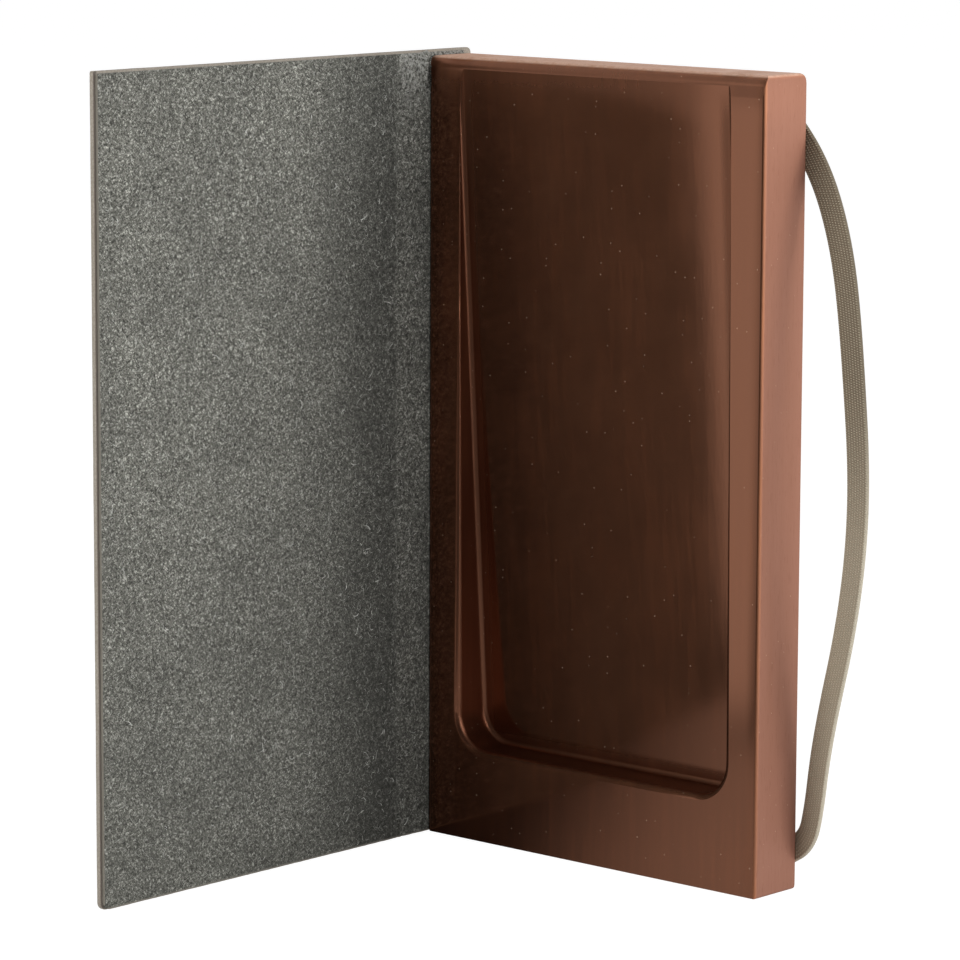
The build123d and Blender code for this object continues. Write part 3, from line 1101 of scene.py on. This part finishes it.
# %% Colour and soil the board
FELT = (
    (0.28, (0.040, 0.040, 0.034)),
    (0.42, (0.150, 0.150, 0.129)),
    (0.54, (0.252, 0.252, 0.222)),
    (0.70, (0.740, 0.740, 0.670)),
)
PATCH_SOIL = (0.05, 0.05, 0.045)
FOLD_SHADE = (0.022, 0.023, 0.020)
FOLD_SHADE_FROM_Y = -0.060
FOLD_SHADE_FULL_Y = -0.025
FOOT_DARKENING = (0.022, 0.022, 0.018)
FOOT_DARKENING_TOP_Z = 0.13
RUBBED_FELT = (0.40, 0.40, 0.375)
CUT_FELT = (0.23, 0.21, 0.175)


def soiled_and_shaded():
    """The felt's colour, with soil patches, darker at its foot, and painted shade towards the fold.
    """
    patches = noise(board, board_place, 60, detail=4)
    patches = fade(board, patches, 0.35, 0.65, 0.22, 0.0)
    colour = mixed(board, patches, tones(board, felt, FELT), PATCH_SOIL)
    # Painted shade: darker towards the fold, where the cover and the block shade each other.
    by_fold = fade(board, board_y, FOLD_SHADE_FROM_Y, FOLD_SHADE_FULL_Y, 0.0, 0.54)
    before_line = fade(board, board_y, PRESSED_Y - 0.002, PRESSED_Y, 1.0, 0.5)
    colour = mixed(board, times(board, by_fold, before_line), colour, FOLD_SHADE)
    # Darker towards the foot.
    by_foot = fade(board, board_z, 0.0, FOOT_DARKENING_TOP_Z, 0.28, 0.0)
    return mixed(board, by_foot, colour, FOOT_DARKENING)


def rubbed_felt(colour):
    """The colour with the fold's top rubbed pale, and the cut edges."""
    past_line = fade(board, board_y, PRESSED_Y - 0.001, PRESSED_Y + 0.003)
    at_top = fade(board, board_z, lining_high.z - 0.018, lining_high.z - 0.003)
    in_mat = fade(board, mat, 0.42, 0.62, 0.0, 0.75)
    colour = mixed(board, times(board, past_line, at_top, in_mat), colour, RUBBED_FELT)
    low_edge = fade(board, board_z, lining_low.z + 0.0006, lining_low.z + 0.0002)
    far_edge = fade(board, board_y, lining_low.y + 0.0004, lining_low.y + 0.0001)
    return mixed(board, most(board, low_edge, far_edge), colour, CUT_FELT)


# %% [markdown]
# A few flecks of other fibre are pressed into the felt, some dull red and some nearly black. The
# felt's own tones also give the relief, so that threads stand up and gaps lie deep.

# %% Fleck the board and wear it
FLECK_CELLS = 260.0
FLECK_SHARE = 0.6
RED_FLECK = (0.24, 0.085, 0.07)
DARK_FLECK = (0.03, 0.03, 0.026)


def flecked(colour):
    """The colour with flecks in a few cells of a Voronoi pattern."""
    cells = put(board, "TexVoronoi", {"Vector": board_place, "Scale": FLECK_CELLS})
    fleck = fade(board, cells.outputs["Distance"], 0.08, 0.16, FLECK_SHARE, 0.0)
    values = cell_values(board, cells)
    red = times(board, fleck, fade(board, values[0], 0.90, 0.93))
    dark = times(board, fleck, fade(board, values[1], 0.86, 0.90))
    return mixed(board, dark, mixed(board, red, colour, RED_FLECK), DARK_FLECK)


surface(
    board,
    Base_Color=flecked(rubbed_felt(soiled_and_shaded())),
    Roughness=0.92,
    IOR=1.4,
    Specular_IOR_Level=0.25,
    Sheen_Weight=0.12,
    Sheen_Roughness=0.6,
    Normal=bumped(board, felt, 0.00030, 0.7),
)
wear(cover_lining, board)

# %% [markdown]
# The loose fibres are plain. Cells of 1 mm or so pick a tone each, so that no two neighbours are
# quite alike: pale on the board, dark in the corner by the fold.

# %% Colour the loose fibres
FIBRE_CELLS = 900.0
PALE_FIBRES = (
    (0.0, (0.16, 0.163, 0.145)),
    (0.45, (0.33, 0.335, 0.305)),
    (0.85, (0.52, 0.525, 0.49)),
    (1.0, (0.78, 0.78, 0.74)),
)
DARK_LINT = (
    (0.0, (0.020, 0.021, 0.018)),
    (0.6, (0.060, 0.062, 0.054)),
    (1.0, (0.200, 0.202, 0.185)),
)


def fibre_finish(name, stops, rough, gloss):
    """A matt finish whose tone changes from cell to cell."""
    finish = new_finish(name)
    cells = put(finish, "TexVoronoi", {"Vector": place_on(finish), "Scale": FIBRE_CELLS})
    colour = tones(finish, cell_values(finish, cells)[0], stops)
    return surface(finish, Base_Color=colour, Roughness=rough, Specular_IOR_Level=gloss)


pale_fibre = fibre_finish("pale_fibre", PALE_FIBRES, rough=0.85, gloss=0.3)
dark_lint = fibre_finish("dark_lint", DARK_LINT, rough=0.9, gloss=0.2)
wear(felt_fibres, pale_fibre)
wear(long_fibres, pale_fibre)
wear(fold_lint, dark_lint)
wear(top_lint, dark_lint)

# %% [markdown]
# ### Elastic
#
# The band is braided over its rubber cords. Its finish reads the band's own UV map, in
# millimetres, so the stitches follow it. They are short slanted dashes on each rib, every other
# rib half a stitch further on. Down its lower half the band is painted paler, as the light that it
# catches there from below, and its sides there carry a painted highlight.

# %% Make the elastic
RIB_WIDTH_MM = BAND_WIDTH * 1000 / RIBS
STITCH_LENGTH_MM = 0.62
STITCH_SLANT = 0.45
YARN_SHAPE = (1.0, 0.35, 1.0)
BRAID = (
    (0.15, (0.160, 0.127, 0.085)),
    (0.34, (0.220, 0.178, 0.123)),
    (0.55, (0.288, 0.237, 0.168)),
    (0.82, (0.580, 0.505, 0.385)),
)
LOWER_HALF_LIGHT = (0.70, 0.61, 0.46)
SIDE_HIGHLIGHT = (0.82, 0.75, 0.60)
LIGHT_FROM_MM = 75.0  # along the band from its upper end
LIGHT_FULL_MM = 130.0
SIDE_FROM_MM = 2.75  # across the band from its middle
SIDE_FULL_MM = 3.05


def stitches(finish, across, along):
    """The height of the braid's stitches, from 0 to 1."""
    rib = calc(finish, "DIVIDE", across, RIB_WIDTH_MM)
    in_rib = calc(finish, "FRACT", rib)
    step = calc(finish, "DIVIDE", along, STITCH_LENGTH_MM)
    step = calc(finish, "MULTIPLY_ADD", calc(finish, "FLOOR", rib), 0.5, step)
    step = calc(finish, "MULTIPLY_ADD", in_rib, STITCH_SLANT, step)
    dash = calc(finish, "SINE", times(finish, step, 2 * math.pi))
    dash = calc(finish, "POWER", calc(finish, "MULTIPLY_ADD", dash, 0.5, 0.5), 1.6)
    ridge = calc(finish, "COSINE", times(finish, in_rib, 2 * math.pi))
    return times(finish, dash, calc(finish, "MULTIPLY_ADD", ridge, -0.5, 0.5))


def braided_elastic():
    """The band's finish."""
    finish = new_finish("braided_elastic")
    where = put(finish, "UVMap", uv_map="stitches").outputs[0]
    across, along = axes_of(finish, where)[:2]
    stitch = stitches(finish, across, along)
    drawn = put(finish, "Mapping", {"Vector": where, "Scale": YARN_SHAPE}).outputs[0]
    yarn = noise(finish, drawn, 9.0, detail=4, rough=0.65)
    shade = calc(finish, "MULTIPLY_ADD", stitch, 0.62, times(finish, yarn, 0.5))
    lower_half = fade(finish, along, LIGHT_FROM_MM, LIGHT_FULL_MM)
    by_side = calc(finish, "ABSOLUTE", across)
    by_side = fade(finish, by_side, SIDE_FROM_MM, SIDE_FULL_MM, 0.0, 0.5)
    colour = tones(finish, shade, BRAID)
    # Painted light: the lower half is paler, and its sides carry a painted highlight.
    colour = mixed(finish, times(finish, lower_half, 0.34), colour, LOWER_HALF_LIGHT)
    colour = mixed(finish, times(finish, by_side, lower_half), colour, SIDE_HIGHLIGHT)
    relief = bumped(finish, stitch, 0.00014, 0.8)
    return surface(
        finish,
        Base_Color=colour,
        Roughness=0.78,
        IOR=1.45,
        Specular_IOR_Level=0.35,
        Sheen_Weight=0.15,
        Sheen_Roughness=0.5,
        Normal=bumped(finish, yarn, 0.00005, 0.6, relief),
    )


wear(elastic_band, braided_elastic())

# %% [markdown]
# ### Steel
#
# The two screws are zinc-plated steel, with fine marks from turning and smudges from handling.
# They are made darker deeper in, towards the block.

# %% Make the screws' steel
TURNED = (1, 6, 1)
ZINC = ((0.35, (0.44, 0.44, 0.42)), (0.65, (0.62, 0.615, 0.59)))
POCKET_DARKENING = (0.12, 0.11, 0.10)
DARKEST_Y = 0.0068
DARKENING_END_Y = 0.0077


def plated_steel():
    """The screws' plating."""
    finish = new_finish("plated_steel")
    where = place_on(finish)
    marks = noise(finish, place_on(finish, TURNED), 1400, detail=4)
    smudges = noise(finish, where, 350, detail=3)
    # Darker deeper in, towards the block.
    deep = fade(finish, axes_of(finish, where)[1], DARKEST_Y, DARKENING_END_Y, 0.5, 0.0)
    return surface(
        finish,
        Base_Color=mixed(finish, deep, tones(finish, smudges, ZINC), POCKET_DARKENING),
        Metallic=1.0,
        Roughness=calc(finish, "MULTIPLY_ADD", marks, 0.22, 0.22),
        Normal=bumped(finish, marks, 0.00002, 0.5),
    )


steel = plated_steel()
for node in ("elastic_screw_top", "elastic_screw_bottom"):
    wear(frame["nodes"][node], steel)

# %% [markdown]
# ## The studio
#
# The object stands on a wide pale floor in a white room. The camera sees plain white. The lacquer
# mirrors a room that is white behind the object and at its left, and dark at its front right, as
# a studio is on the side where the camera stands.

# %% Say what the lacquer sees of the room
LEFT_SIDE = 1.0
DARK_SIDE = 0.12


def room_level(finish, way):
    """How bright the room looks in the lacquer, in the direction that it looks."""
    right, back, up = axes_of(finish, way)
    front = fade(finish, right, -0.55, 0.10, LEFT_SIDE, DARK_SIDE)
    front = times(finish, front, fade(finish, up, 0.02, 0.16, 1.0, 0.65))
    behind = fade(finish, back, -0.35, 0.45)
    return calc(finish, "MULTIPLY_ADD", behind, calc(finish, "SUBTRACT", 1.0, front), front)


def grey(level):
    """A grey, from 0 to 1, as a socket holds it."""
    return (level, level, level, 1)


def chosen(finish, share, first, second):
    """One shader's output or the other's, by a share."""
    return put(finish, "MixShader", {0: share, 1: first, 2: second}).outputs[0]


# %% [markdown]
# The floor is a disc. Rays from the camera find it white, and rays that bounce softly find it
# pale. Rays from the lacquer find it dark close to the object, where the object shades it, and as
# bright as the room further out.

# %% Lay the floor
FLOOR_RADIUS = 6.0
FLOOR_DROP = 0.0002
FLOOR_GLOW = 0.97
SHADED_REACH = 0.12  # from the origin
OPEN_REACH = 0.26
SHADED_X = -0.031  # across, from the fold's side towards the elastic's
OPEN_X = 0.050

bpy.ops.object.select_all(action="DESELECT")
bpy.ops.mesh.primitive_circle_add(
    vertices=96, radius=FLOOR_RADIUS, fill_type="NGON", location=(0, 0, cad_low.z - FLOOR_DROP)
)
floor = bpy.context.active_object
floor.name = "studio_floor"
bpy.ops.object.transform_apply(location=True, rotation=True, scale=True)


def white_floor():
    """A floor that is white to the camera, and shaded to the lacquer near the object."""
    finish = new_finish("white_floor")
    path = put(finish, "LightPath").outputs
    where = put(finish, "TexCoord").outputs["Object"]
    way = put(finish, "VectorMath", {0: where}, operation="NORMALIZE").outputs[0]
    reach = put(finish, "VectorMath", {0: where}, operation="LENGTH").outputs["Value"]
    x, y = axes_of(finish, where)[:2]
    from_fold = calc(finish, "MULTIPLY_ADD", calc(finish, "ABSOLUTE", y), 0.6, x)
    far = fade(finish, reach, SHADED_REACH, OPEN_REACH)
    far = most(finish, far, fade(finish, from_fold, SHADED_X, OPEN_X, 0.0, 0.58))
    level = fade(finish, reach, SHADED_REACH, OPEN_REACH, 1.0, 0.0)
    level = most(finish, room_level(finish, way), level)

    matt = put(finish, "BsdfDiffuse", {"Color": grey(0.75)}).outputs[0]
    shaded = put(finish, "BsdfDiffuse", {"Color": grey(0.14)}).outputs[0]
    faint = put(finish, "BsdfDiffuse", {"Color": grey(0.20)}).outputs[0]
    glow = put(finish, "Emission", {"Color": grey(1), "Strength": level}).outputs[0]
    white = put(finish, "Emission", {"Color": grey(1), "Strength": FLOOR_GLOW}).outputs[0]
    white = put(finish, "AddShader", {0: white, 1: faint}).outputs[0]

    mirrored = chosen(finish, far, shaded, glow)
    look = chosen(finish, path["Is Glossy Ray"], matt, mirrored)
    seen = most(finish, path["Is Camera Ray"], path["Is Transmission Ray"])
    put(finish, "OutputMaterial", {"Surface": chosen(finish, seen, look, white)})
    return finish


wear(floor, white_floor())

# %% [markdown]
# The light that falls on the object comes from the room at a lower level and from two large soft
# lamps: one in front, which the lacquer doesn't mirror, and one at the right, a little behind.

# %% Light the room
ROOM_LIGHT = 0.14
LAMP_AIM = Vector((-0.02, -0.04, 0.10))


def white_room():
    """The room: white to the camera, graded to the lacquer, and dim as a light."""
    room = bpy.data.worlds.new("white_room")
    room.use_nodes = True
    room.node_tree.nodes.clear()
    path = put(room, "LightPath").outputs
    level = room_level(room, put(room, "TexCoord").outputs["Generated"])
    dim = put(room, "Background", {"Color": grey(1), "Strength": ROOM_LIGHT}).outputs[0]
    mirrored = put(room, "Background", {"Color": grey(1), "Strength": level}).outputs[0]
    white = put(room, "Background", {"Color": grey(1), "Strength": 1.0}).outputs[0]
    look = chosen(room, path["Is Glossy Ray"], dim, mirrored)
    seen = most(room, path["Is Camera Ray"], path["Is Transmission Ray"])
    put(room, "OutputWorld", {"Surface": chosen(room, seen, look, white)})
    return room


def soft_lamp(name, turn, height, distance, size, power, mirrored):
    """A square lamp that faces the object from a compass turn, in degrees right of the front."""
    away = math.radians(turn)
    place = LAMP_AIM + Vector((math.sin(away) * distance, -math.cos(away) * distance, height))
    bpy.ops.object.light_add(type="AREA", location=place)
    lamp = bpy.context.active_object
    lamp.name = name
    lamp.data.shape = "SQUARE"
    lamp.data.size = size
    lamp.data.energy = power
    lamp.visible_glossy = mirrored
    lamp.rotation_euler = (LAMP_AIM - place).to_track_quat("-Z", "Y").to_euler()


bpy.context.scene.world = white_room()
bpy.context.scene.view_settings.view_transform = "Standard"
soft_lamp("lamp_front", -15, height=0.5, distance=1.7, size=1.0, power=18, mirrored=False)
soft_lamp("lamp_right", 104, height=0.4, distance=1.7, size=2.0, power=40, mirrored=True)
